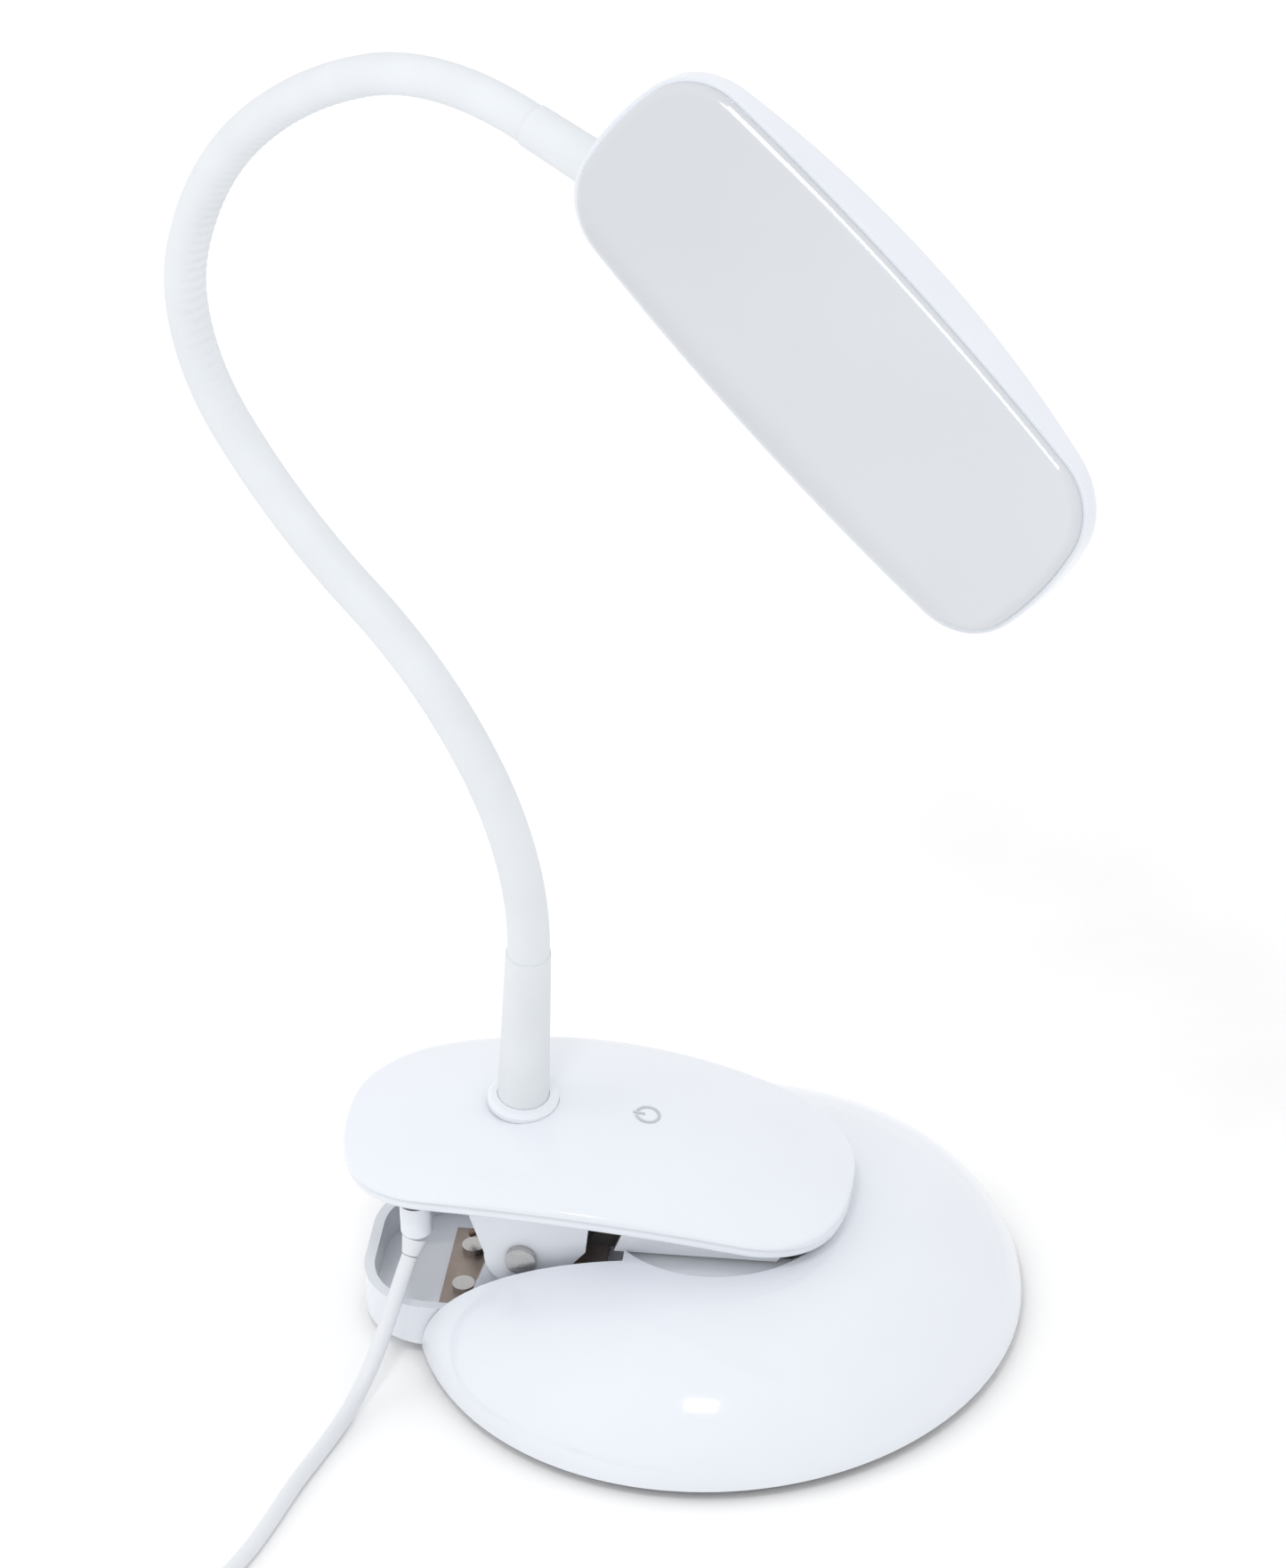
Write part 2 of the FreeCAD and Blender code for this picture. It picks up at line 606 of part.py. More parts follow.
def neck_direction(angle):
    """A direction in the neck's plane, `angle` degrees forward of upright."""
    return NECK_TURN.multVec(Vector(math.sin(math.radians(angle)), 0, math.cos(math.radians(angle))))


def upright_to(direction):
    return Rotation(Z_AXIS, direction)


def neck_cylinder(name, start, direction, along, length, radius):
    """A cylinder on the neck's line, `along` millimetres from its start."""
    at = start + direction * along
    return primitive("Cylinder", name, at=tuple(at), turn=upright_to(direction), Radius=radius, Height=length)


def make_arm_covers():
    wall, under = size("shell_wall"), size("arm_under")
    skin = arm_lid("arm_top_skin", 0, 1.0)
    core = arm_lid("arm_top_core", wall, 0, 2)
    lean = neck_direction(size("neck_lean"))
    hole = neck_cylinder("neck_hole", FOOT, lean, -12, 24, "Dims.stud_radius + 0.15")
    seat = neck_cylinder("neck_seat", FOOT, lean, 0, 8, "Dims.collar_radius + 0.05")
    floor = -under + wall + 0.65
    tilt = Rotation(Y_AXIS, size("arm_tilt"))
    posts = []
    for index, (x, side) in enumerate(ARM_SCREWS):
        spot = arm_point(x, floor)
        posts.append(primitive("Cylinder", "arm_post_%d" % index, at=(spot.x, side, spot.z), turn=tilt,
                               Radius=2.4, Height=12))
    limit = arm_lid("arm_post_limit", wall / 2, 0, 6)
    posts = common("arm_posts", fused("arm_post_group", *posts), limit)
    lid = cut("arm_top_shell", skin, core)
    node("arm_top_cover", cut("arm_top_cover", fused("arm_top_whole", lid, posts), hole, seat,
                              nodes["arm_screws"], nodes["touch_icon"]))

    low_skin = arm_pebble("arm_low_skin", 0.6, 0, -under, soft_bottom=1.5)
    low_core = arm_pebble("arm_low_core", 0.6 + wall, 2, -under + wall, soft_bottom=0.6)
    shell = cut("arm_low_shell", low_skin, low_core)
    corners = [(-51, 43.6), (-22.5, 43.2), (-24.5, 29), (-31, 21.5),
               ("Dims.pin_x", "Dims.pin_z - Dims.arm_ear_radius + 0.3"),
               ("Dims.pin_x - Dims.arm_ear_radius + 0.2", "Dims.pin_z")]
    ears = mirrored_ears("arm_ear", corners, "Dims.arm_ear_radius", "Dims.arm_ear_in", "Dims.ear_wall")
    jaw = side_profile("jaw_block", [
        (-21.5, 41), (-21.5, 34.6), (-16.4, 34.6), (-18.4, 29.8), (16.2, 29.8), (19.6, 33.4), (19.6, 36)],
        -18.7, 18.7)
    jaw_room = side_profile("jaw_room", [(-22.5, 20), (25, 20), (25, 34.4), (-22.5, 34.4)], -17.0, 17.0)
    jaw_frame = cut("jaw_frame", jaw, jaw_room)
    whole = fused("arm_low_whole", shell, jaw_frame, *ears)
    bore = pin_bore("arm_bore", "Dims.pin_radius + Dims.pin_play", 30)
    socket_hole = primitive("Cylinder", "socket_hole", at=("Dims.plug_x", "Dims.plug_y", 30), Radius=3.7,
                            Height=16)
    node("arm_bottom_cover", cut("arm_bottom_cover", whole, bore, socket_hole, arm_core_room(),
                                 nodes["arm_screws"]))
    pad = side_profile("jaw_pad_block", [(-25, 29.1), (19.2, 29.1), (23.0, 31.6), (20, 34.2), (-21.5, 34.2)],
                       -16.5, 16.5)
    node("upper_jaw_pad", cut("upper_jaw_pad", pad, low_skin))


def arm_core_room():
    """The space kept clear inside the arm, above the bottom cover's floor."""
    wall = size("shell_wall")
    return arm_pebble("arm_room", 0.6 + wall + 0.2, 5, -size("arm_under") + wall)


def make_touch_icon():
    """A thin ring with a short bar towards the neck, set 0.15 mm proud of the arm."""
    spot = arm_point(-13.8, size("arm_top") - 0.25, "arm_back")
    local = spot.x - size("arm_x")
    slope = math.degrees(math.asin(local / size("arm_back"))) + size("arm_tilt")
    turn = Rotation(Y_AXIS, slope) * Rotation(Z_AXIS, 90)
    ring = turned("icon_ring", [(2.1, 0), (2.75, 0), (2.75, 0.4), (2.1, 0.4)])
    gap = block("icon_gap", (-0.8, 1.2, -1), (0.8, 4, 2))
    bar = block("icon_bar", (-0.3, 0.6, 0), (0.3, 3.2, 0.4))
    broken = cut("icon_broken_ring", ring, gap)
    icon = node("touch_icon", grouped("touch_icon", broken, bar))
    icon.Placement = Placement(spot, turn)


def make_arm_insides():
    tilt = Rotation(Y_AXIS, size("arm_tilt"))
    board = arm_point(-14, 0.4)
    node("control_board", rounded_plate("control_board", 11, 17, "Dims.board_height", 2, tuple(board), tilt))
    electrode = arm_point(-14, 1.65)
    node("touch_electrode", turned("touch_electrode", [(0, 0), (4.5, 0), (4.5, 2.9), (0, 2.9)],
                                   tuple(electrode), tilt))
    cell = arm_point(5.4, -1.4)
    node("battery_cell", rounded_plate("battery_cell", 7.6, 13, 3.2, 2, tuple(cell),
                                       Rotation(Y_AXIS, size("arm_tilt") + 8.6)))


def make_arm_screws():
    tilt = Rotation(Y_AXIS, size("arm_tilt"))
    screws = []
    for index, (x, side) in enumerate(ARM_SCREWS):
        spot = arm_point(x, -size("arm_under") + 0.1)
        screws.append(screw("arm_screw_%d" % index, 1.0, 1.8, 4.4, (spot.x, side, spot.z - 0.1), tilt))
    node("arm_screws", grouped("arm_screws", *screws))


def make_charge_socket():
    """The round charging socket in the arm's floor, opening downwards."""
    low = "39.6"
    body = turned("socket_body", [(2.2, 0), (3.6, 0), (3.6, 6.0), (0, 6.0), (0, 5.1), (2.2, 5.1)],
                  ("Dims.plug_x", "Dims.plug_y", low))
    node("charge_socket", body)


# ---------------------------------------------------------------- gooseneck
def neck_joints():
    """Each joint's place and the neck's direction there, from the foot to the head."""
    angle = size("neck_lean")
    at = FOOT + neck_direction(angle) * size("sleeve_length")
    joints = [(at, angle)]
    for index in range(1, 8):
        bend = size("bend_%d" % index)
        radius = size("link_length") / math.radians(bend)
        across = math.cos(math.radians(angle)) - math.cos(math.radians(angle + bend))
        up = math.sin(math.radians(angle + bend)) - math.sin(math.radians(angle))
        at = at + NECK_TURN.multVec(Vector(radius * across, 0, radius * up))
        angle += bend
        joints.append((at, angle))
    return joints


JOINTS = neck_joints()


def neck_ball(name, at, radius):
    return primitive("Sphere", name, at=tuple(at), Radius=radius)


def make_link(index):
    """A bent piece of the gooseneck: hollow where it starts, rounded where it ends."""
    (start, angle), (finish, _) = JOINTS[index - 1], JOINTS[index]
    bend = "Dims.bend_%d" % index
    forward = size("bend_%d" % index) > 0
    name = "link_%d" % index
    radius = "Dims.link_length / (%s%s * pi / 180)" % ("" if forward else "-", bend)
    # the torus starts on its own X axis, which points from the bend's centre to the link's start
    tangent = neck_direction(angle)
    outward = neck_direction(angle - 90 if forward else angle + 90)
    turn = Rotation(outward, tangent, Vector(), "XYZ")
    centre = start - outward * (size("link_length") / abs(math.radians(size("bend_%d" % index))))
    bow = primitive("Torus", name + "_bow", at=tuple(centre), turn=turn, Radius1=radius,
                    Radius2="Dims.neck_radius", Angle1=-180, Angle2=180,
                    Angle3=("" if forward else "-") + bend)
    hollow = neck_ball(name + "_hollow", start, "Dims.socket_radius")
    ball = neck_ball(name + "_ball", finish, "Dims.ball_radius")
    node("gooseneck_link_%d" % index,
         fused("gooseneck_link_%d" % index, cut(name + "_hollowed", bow, hollow), ball))


def make_neck_foot():
    lean = neck_direction(size("neck_lean"))
    turn = upright_to(lean)
    node("neck_stud", neck_cylinder("neck_stud", FOOT, lean, -7.8, 19.3, "Dims.stud_radius"))
    nut = primitive("Prism", "neck_nut_hex", at=tuple(FOOT + lean * -5.2), turn=turn, Polygon=6,
                    Circumradius=6.2, Height=2.6)
    hole = neck_cylinder("neck_nut_hole", FOOT, lean, -7, 8, "Dims.stud_radius + 0.02")
    node("neck_nut", cut("neck_nut", nut, hole))
    foot, tip, length = "Dims.sleeve_foot", "Dims.sleeve_tip", "Dims.sleeve_length"
    bore = "Dims.stud_radius + 0.02"
    sleeve = turned("lower_sleeve_body", [(bore, 0), (foot, 0), (tip, length), (0, length), (0, 11.8),
                                          (bore, 11.8)], tuple(FOOT), turn)
    ball = neck_ball("lower_sleeve_ball", JOINTS[0][0], "Dims.ball_radius")
    node("neck_sleeve_lower", fused("neck_sleeve_lower", sleeve, ball))
    inner = "Dims.sleeve_foot + 0.05"
    collar = turned("collar_body", [(inner, 0), ("Dims.collar_radius", 0), ("Dims.collar_radius", 1.0),
                                    ("Dims.collar_radius - 0.8", 1.9), (inner, 2.1)],
                    tuple(FOOT + lean * 0.15), turn)
    node("neck_collar", collar)


# ---------------------------------------------------------------- head
LAST, LAST_ANGLE = JOINTS[-1]
HEAD_LINE = neck_direction(LAST_ANGLE)
HEAD_TURN = NECK_TURN * Rotation(Y_AXIS, size("head_dip")) * Rotation(X_AXIS, -size("head_roll"))
ANCHOR = LAST + HEAD_LINE * size("anchor_reach")
HEAD = Placement(ANCHOR - HEAD_TURN.multVec(Vector(size("anchor_x"), size("anchor_y"), size("anchor_z"))),
                 HEAD_TURN)
HEAD_OUTLINE = (size("head_half_length"), size("head_half_width"), size("head_corner"),
                 size("head_side"), size("head_end"))
HEAD_POSTS = ((6, -15), (6, 15), (50, -10), (50, 10), (-52, -10), (-52, 10))


def head_pebble(name, inset, top, bottom, soft_top=0, arched=True):
    """A pebble of the head: its front is flat at `bottom`, its back rises to `top`."""
    outline = shrunk(HEAD_OUTLINE, inset)
    reach = 60
    back = arched_slab(outline[1], size("head_arch"), size("head_crown") - inset, top, -reach)
    shape = back.common(oval_prism(outline, bottom, reach)).Solids[0]
    if soft_top:
        upper = max(shape.Faces, key=lambda face: face.CenterOfMass.z)
        shape = shape.makeFillet(soft_top, upper.Edges)
    return feature(name, shape, HEAD)


def in_head(item):
    """Move a piece that is built about the head's own origin into its place."""
    item.Placement = HEAD.multiply(item.Placement)
    return item


def make_head_housing():
    wall, depth = size("shell_wall"), size("head_depth")
    skin = head_pebble("head_skin", 0, depth, 0, soft_top=3.2)
    core = head_pebble("head_core", wall, depth - wall, -1)
    boss = neck_cylinder("head_boss", LAST, HEAD_LINE, size("anchor_reach") - 22, 25, 7.2)
    clear = feature("boss_limit", oval_prism(shrunk(HEAD_OUTLINE, wall / 2), 6.0, 60), HEAD)
    boss = common("head_boss_trimmed", boss, clear)
    posts, pilots = [], []
    for index, (across, side) in enumerate(HEAD_POSTS):
        posts.append(primitive("Cylinder", "head_post_%d" % index, at=(across, side, 4.55),
                               Radius=2.5, Height=20))
        pilots.append(primitive("Cylinder", "head_pilot_%d" % index, at=(across, side, 4),
                                Radius=1.1, Height=5))
    limit = head_pebble("head_post_limit", wall / 2, depth - wall / 2, 0)
    in_head(fused("head_posts", *posts))
    in_head(fused("head_pilots", *pilots))
    posts = common("head_posts_trimmed", doc.getObject("head_posts"), limit)
    bore = neck_cylinder("head_bore", LAST, HEAD_LINE, 20, "Dims.upper_sleeve - 19.8",
                         "Dims.sleeve_foot + 0.1")
    stud_bore = neck_cylinder("head_stud_bore", LAST, HEAD_LINE, 40, 30, "Dims.stud_radius + 0.05")
    whole = fused("head_whole", cut("head_shell", skin, core), boss, posts)
    node("head_housing", cut("head_housing", whole, bore, stud_bore, doc.getObject("head_pilots")))


def make_head_insides():
    inset, proud = size("lens_inset"), size("lens_proud")
    wall = size("shell_wall")
    lens = oval_prism(shrunk(HEAD_OUTLINE, inset), -proud, -0.05)
    front = min(lens.Faces, key=lambda face: face.CenterOfMass.z)
    lens = lens.makeFillet(size("lens_edge"), front.Edges)
    spigot = oval_prism(shrunk(HEAD_OUTLINE, wall + 0.25), -0.05, 1.6)
    hollow = oval_prism(shrunk(HEAD_OUTLINE, wall + 1.6), -proud + 1.3, 2)
    node("head_diffuser", feature("head_diffuser", lens.fuse(spigot).cut(hollow).removeSplitter(), HEAD))
    reflector = oval_prism(shrunk(HEAD_OUTLINE, wall + 1.8), 1.2, 3.2)
    window = oval_prism(shrunk(HEAD_OUTLINE, wall + 5.5), 0, 6)
    node("reflector_frame", feature("reflector_frame", reflector.cut(window), HEAD))
    board = rounded_plate("led_board_plate", 58, 18.5, "Dims.board_height", 8, (0, 0, 3.3))
    holes = [primitive("Cylinder", "board_hole_%d" % index, at=(across, side, 2), Radius=1.2, Height=5)
             for index, (across, side) in enumerate(HEAD_POSTS)]
    node("led_board", in_head(cut("led_board", board, *holes)))
    leds = []
    for row, side in enumerate((-8, 8)):
        for column in range(11):
            across = -45 + 9 * column
            leds.append(block("led_%d_%d" % (row, column), (across - 1.4, side - 1.75, 2.45),
                              (across + 1.4, side + 1.75, 3.3)))
    node("led_chips", in_head(grouped("led_chips", *leds)))
    screws = [screw("head_screw_%d" % index, 1.05, 2.0, 4.6, (across, side, 1.9))
              for index, (across, side) in enumerate(HEAD_POSTS)]
    node("head_screws", in_head(grouped("head_screws", *screws)))


def make_head_neck():
    reach = "Dims.upper_sleeve"
    turn = upright_to(HEAD_LINE)
    bore = "Dims.stud_radius + 0.02"
    sleeve = turned("upper_sleeve_body", [(0, 0), ("Dims.sleeve_tip", 0), ("Dims.sleeve_foot", reach),
                                          (bore, reach), (bore, "%s - 12" % reach), (0, "%s - 12" % reach)],
                    tuple(LAST), turn)
    hollow = neck_ball("upper_sleeve_hollow", LAST, "Dims.socket_radius")
    node("neck_sleeve_upper", cut("neck_sleeve_upper", sleeve, hollow))
    node("neck_anchor", neck_cylinder("neck_anchor", LAST, HEAD_LINE, size("upper_sleeve") - 11.8, 20,
                                      "Dims.stud_radius"))


# ---------------------------------------------------------------- charging lead
LEAD_ROUTE = [
    (-61.9, -20.4, 26.2), (-63.2, -22.4, 22.4), (-64.6, -25.2, 18.2), (-66.0, -28.6, 13.9),
    (-67.6, -32.4, 9.6), (-69.3, -36.3, 5.9), (-71.2, -41.4, 3.15), (-73.5, -48.9, 1.75),
    (-76.4, -58.6, 1.75), (-79.8, -69.4, 1.75), (-82.6, -81.2, 1.75), (-85.9, -93.2, 1.75),
    (-90.8, -105.2, 1.95), (-96.9, -117.6, 2.3), (-101.8, -131.0, 2.55), (-102.9, -145.4, 2.55)]
TAIL_ROUTE = [
    (-78.0, -170.9, 5.4), (-69.6, -172.6, 4.7), (-60.8, -172.6, 4.1), (-52.4, -170.4, 4.0)]


def round_path(points):
    """Straight runs joined by tangent arcs, each as large as its two runs allow."""
    points = [Vector(*point) for point in points]
    edges, radii = [], []
    last = points[0]
    for before, at, after in zip(points, points[1:], points[2:]):
        inward, outward = at - before, after - at
        half_turn = inward.getAngle(outward) / 2
        trim = 0.45 * min(inward.Length, outward.Length)
        radius = trim / math.tan(half_turn)
        enter = at - inward.normalize() * trim
        leave = at + outward.normalize() * trim
        to_middle = ((enter + leave) / 2 - at).normalize()
        peak = at + to_middle * (radius / math.cos(half_turn) - radius)
        edges.append(Part.LineSegment(last, enter).toShape())
        edges.append(Part.Arc(enter, peak, leave).toShape())
        radii.append(radius)
        last = leave
    edges.append(Part.LineSegment(last, points[-1]).toShape())
    return Part.Wire(edges), radii


def lead_tube(name, points):
    """A round tube along a route; its volume is compared with its section times its length."""
    path, radii = round_path(points)
    radius = size("cable_radius")
    first = path.Edges[0]
    ring = Part.Wire(Part.Circle(first.valueAt(first.FirstParameter),
                                 first.tangentAt(first.FirstParameter), radius).toShape())
    tube = path.makePipeShell([ring], True, True)
    ideal = math.pi * radius ** 2 * path.Length
    print("%s: length %.1f, volume %.1f of %.1f" % (name, path.Length, tube.Volume, ideal))
    print("%s: radii %s" % (name, " ".join("%.1f" % bend for bend in radii)))
    if abs(tube.Volume - ideal) > 0.01 * ideal:
        raise RuntimeError(name + " has the wrong volume")
    node(name, feature(name, tube))


def make_lead():
    relief_top = 31.5
    node("charge_plug", turned("charge_plug", [
        (0, 0), (3.1, 0), (3.4, 0.5), (3.4, 8.0), (2.0, 8.0), (2.0, 13.0), (0, 13.0)],
        ("Dims.plug_x", "Dims.plug_y", relief_top)))
    top = Vector(size("plug_x"), size("plug_y"), relief_top)
    exit_point = Vector(*LEAD_ROUTE[0])
    down = exit_point - top
    node("strain_relief", turned("strain_relief", [
        (0, 0.5), (1.9, 0.5), (2.8, down.Length - 1.6), (2.8, down.Length - 1.3), (0, down.Length - 1.3)],
        tuple(exit_point), upright_to(top - exit_point)))
    lead_tube("charge_lead", LEAD_ROUTE)
    lead_tube("lead_tail", TAIL_ROUTE)
    inner, outer = "Dims.coil_inner", "Dims.coil_outer"
    low, high = 0, "Dims.coil_height"
    soft = 1.4
    node("lead_coil", turned("lead_coil", [
        (inner + " + %s" % soft, low), (outer + " - %s" % soft, low), (outer, "%s" % soft),
        (outer, high + " - %s" % soft), (outer + " - %s" % soft, high), (inner + " + %s" % soft, high),
        (inner, high + " - %s" % soft), (inner, "%s" % soft)],
        ("Dims.coil_x", "Dims.coil_y", "Dims.coil_lift")))
    outside = block("tie_outside",
                    ("Dims.coil_x - 3", "Dims.coil_y + Dims.coil_inner - 1.4", 0.05),
                    ("Dims.coil_x + 3", "Dims.coil_y + Dims.coil_outer + 0.7",
                     "Dims.coil_lift + Dims.coil_height + 0.75"))
    inside = block("tie_inside",
                   ("Dims.coil_x - 4", "Dims.coil_y + Dims.coil_inner - 0.8", 0.65),
                   ("Dims.coil_x + 4", "Dims.coil_y + Dims.coil_outer + 0.1",
                    "Dims.coil_lift + Dims.coil_height + 0.15"))
    node("lead_tie", cut("lead_tie", outside, inside))
    make_usb_plug()


def make_usb_plug():
    """The plug on the lead's far end, lying flat in line with its last run."""
    end = Vector(*TAIL_ROUTE[-1])
    heading = end - Vector(*TAIL_ROUTE[-2])
    heading.z = 0
    heading.normalize()
    turn = Rotation(X_AXIS, heading)
    grip_at = end + heading * 11.05 + Vector(0, 0, -3.8)
    node("usb_plug_grip", rounded_plate("usb_grip", 11, 7.4, 7.6, 2.2, tuple(grip_at), turn))
    shell_at = end + heading * 22.15 + Vector(0, 0, -2.25)
    shell = rounded_plate("usb_shell_outer", 6.5, 6, 4.5, 0.6, tuple(shell_at + heading * 6.5), turn)
    hollow = rounded_plate("usb_shell_inner", 7, 5.6, 1.8, 0.4,
                           tuple(shell_at + heading * 8.0 + Vector(0, 0, 2.3)), turn)
    node("usb_plug_shell", cut("usb_plug_shell", shell, hollow))


# ---------------------------------------------------------------- assembly
def check_and_write():
    doc.recompute()
    for item in doc.Objects:
        if "Invalid" in item.State or "Error" in item.State:
            raise RuntimeError("%s failed: %s" % (item.Name, item.State))
    os.makedirs("parts", exist_ok=True)
    for label, item in nodes.items():
        shape = item.Shape
        if shape.isNull() or not shape.isValid() or not shape.Solids:
            raise RuntimeError("%s has no valid solid" % label)
        shape.exportStep("parts/%s.step" % label)
    print("wrote %d sub-parts" % len(nodes))


make_base_cover()
make_base_bottom()
make_bracket_screws()
make_lower_handle()
make_hinge()
make_torsion_spring()
make_touch_icon()
make_arm_screws()
make_arm_covers()
make_arm_insides()
make_charge_socket()
make_neck_foot()
for number in range(1, 8):
    make_link(number)
make_head_neck()
make_head_housing()
make_head_insides()
make_lead()
check_and_write()
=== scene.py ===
"""Looks for the clip-on reading lamp: camera, light, lead, gooseneck skin and materials."""
import math

import bpy
from mathutils import Matrix, Vector


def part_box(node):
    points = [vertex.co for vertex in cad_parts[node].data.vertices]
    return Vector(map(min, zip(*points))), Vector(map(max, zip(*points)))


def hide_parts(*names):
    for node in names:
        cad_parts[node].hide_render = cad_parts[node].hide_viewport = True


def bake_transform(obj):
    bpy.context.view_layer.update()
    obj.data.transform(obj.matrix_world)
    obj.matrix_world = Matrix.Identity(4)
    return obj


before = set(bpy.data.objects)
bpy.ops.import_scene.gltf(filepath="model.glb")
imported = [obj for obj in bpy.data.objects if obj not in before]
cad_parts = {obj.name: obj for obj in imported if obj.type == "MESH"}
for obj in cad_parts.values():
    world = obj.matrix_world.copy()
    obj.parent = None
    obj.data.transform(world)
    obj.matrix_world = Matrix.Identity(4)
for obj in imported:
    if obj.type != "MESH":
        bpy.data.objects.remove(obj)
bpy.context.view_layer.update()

# ---------------------------------------------------------------- camera
AZIMUTH = math.radians(11)
ELEVATION = math.radians(38.44)
ROLL = math.radians(3.04)
DISTANCE = 11.5
FRAME_HEIGHT = 0.3317  # what the picture's long side spans at the lamp
SENSOR = 36
AIM_RIGHT = -0.0162
AIM_UP = 0.1114
CLIP_NEAR = 1
CLIP_FAR = 100


def make_camera():
    """A long lens in front of the lamp, a little to its right and well above it."""
    right = Vector((math.cos(AZIMUTH), math.sin(AZIMUTH), 0))
    toward = Vector((math.cos(ELEVATION) * math.sin(AZIMUTH), -math.cos(ELEVATION) * math.cos(AZIMUTH),
                     math.sin(ELEVATION)))
    up = toward.cross(right)
    cam_right = right * math.cos(ROLL) - up * math.sin(ROLL)
    cam_up = right * math.sin(ROLL) + up * math.cos(ROLL)
    data = bpy.data.cameras.new("camera")
    data.sensor_width = SENSOR
    data.lens = SENSOR * DISTANCE / FRAME_HEIGHT
    data.clip_start = CLIP_NEAR
    data.clip_end = CLIP_FAR
    camera = bpy.data.objects.new("camera", data)
    bpy.context.scene.collection.objects.link(camera)
    place = toward * DISTANCE + cam_right * AIM_RIGHT + cam_up * AIM_UP
    turn = Matrix((cam_right, cam_up, toward)).transposed()
    camera.matrix_world = Matrix.Translation(place) @ turn.to_4x4()
    bpy.context.scene.camera = camera


make_camera()


# ---------------------------------------------------------------- helpers
NOISE_LOW = 0.3  # most of a noise's values lie between these two
NOISE_HIGH = 0.7
RELIEF_HEIGHT = 0.0003


def link(name, data):
    """A new object in the scene."""
    piece = bpy.data.objects.new(name, data)
    bpy.context.scene.collection.objects.link(piece)
    return piece


def millimetres(points):
    """Points given in millimetres, in the scene's metres."""
    return [Vector(point) / 1000 for point in points]


def add_noise(tree, place, scale, detail=3.0):
    """A noise over the piece's own coordinates, at a scale in cycles a metre."""
    noise = tree.nodes.new("ShaderNodeTexNoise")
    noise.inputs["Scale"].default_value = scale
    noise.inputs["Detail"].default_value = detail
    tree.links.new(place, noise.inputs["Vector"])
    return noise.outputs["Fac"]


def spread(tree, factor, low, high):
    """Stretch a factor's middle part over a range."""
    ranged = tree.nodes.new("ShaderNodeMapRange")
    ranged.inputs["From Min"].default_value = NOISE_LOW
    ranged.inputs["From Max"].default_value = NOISE_HIGH
    ranged.inputs["To Min"].default_value = low
    ranged.inputs["To Max"].default_value = high
    tree.links.new(factor, ranged.inputs["Value"])
    return ranged.outputs["Result"]


def mottle(tree, factor, colour, shade):
    """A colour that drifts to a slightly darker one where the factor is high."""
    mix = tree.nodes.new("ShaderNodeMix")
    mix.data_type = "RGBA"
    mix.inputs["A"].default_value = (*colour, 1)
    mix.inputs["B"].default_value = (*[part * shade for part in colour], 1)
    tree.links.new(spread(tree, factor, 0, 1), mix.inputs["Factor"])
    return mix.outputs["Result"]


def material(name, colour, roughness, metallic=0.0, grain=900, bump=0.02, rough_spread=0.03, shade=0.975,
             drift=35, brushed=(1, 1, 1), **extra):
    """A moulded, rubber or metal surface: fine grain in its relief and its gloss, slow drift in its colour.

    grain and drift are cycles a metre; brushed stretches the grain along an axis, as on drawn steel."""
    made = bpy.data.materials.new(name)
    made.use_nodes = True
    tree = made.node_tree
    shader = tree.nodes["Principled BSDF"]
    shader.inputs["Metallic"].default_value = metallic
    for socket, value in extra.items():
        shader.inputs[socket.replace("_", " ")].default_value = value
    coordinates = tree.nodes.new("ShaderNodeTexCoord").outputs["Object"]
    stretch = tree.nodes.new("ShaderNodeMapping")
    stretch.inputs["Scale"].default_value = brushed
    tree.links.new(coordinates, stretch.inputs["Vector"])
    fine = add_noise(tree, stretch.outputs["Vector"], grain)
    slow = add_noise(tree, coordinates, drift, 2.0)
    tree.links.new(mottle(tree, slow, colour, shade), shader.inputs["Base Color"])
    tree.links.new(spread(tree, fine, roughness - rough_spread, roughness + rough_spread),
                   shader.inputs["Roughness"])
    relief = tree.nodes.new("ShaderNodeBump")
    relief.inputs["Strength"].default_value = bump
    relief.inputs["Distance"].default_value = RELIEF_HEIGHT
    tree.links.new(fine, relief.inputs["Height"])
    tree.links.new(relief.outputs["Normal"], shader.inputs["Normal"])
    return made


def paint_shade_along(made, direction, start, end, least):
    """Paint shade into a material's colour: darker to `least` at the start of a stretch, easing to full at
    its end.
    """
    tree = made.node_tree
    target = tree.nodes["Principled BSDF"].inputs["Base Color"]
    source = target.links[0].from_socket
    coordinates = tree.nodes.new("ShaderNodeTexCoord").outputs["Object"]
    dot = tree.nodes.new("ShaderNodeVectorMath")
    dot.operation = "DOT_PRODUCT"
    dot.inputs[1].default_value = direction
    tree.links.new(coordinates, dot.inputs[0])
    ranged = tree.nodes.new("ShaderNodeMapRange")
    ranged.interpolation_type = "SMOOTHSTEP"
    ranged.inputs["From Min"].default_value = start.dot(direction)
    ranged.inputs["From Max"].default_value = end.dot(direction)
    ranged.inputs["To Min"].default_value = least
    ranged.inputs["To Max"].default_value = 1
    tree.links.new(dot.outputs["Value"], ranged.inputs["Value"])
    darken = tree.nodes.new("ShaderNodeMix")
    darken.data_type = "RGBA"
    darken.blend_type = "MULTIPLY"
    darken.inputs["Factor"].default_value = 1
    tree.links.new(source, darken.inputs["A"])
    tree.links.new(ranged.outputs["Result"], darken.inputs["B"])
    tree.links.new(darken.outputs["Result"], target)


def dress(piece, made):
    """Give a piece one material in place of its own."""
    piece.data.materials.clear()
    piece.data.materials.append(made)


def smooth(piece):
    """Shade a piece's faces as one round surface."""
    for face in piece.data.polygons:
        face.use_smooth = True


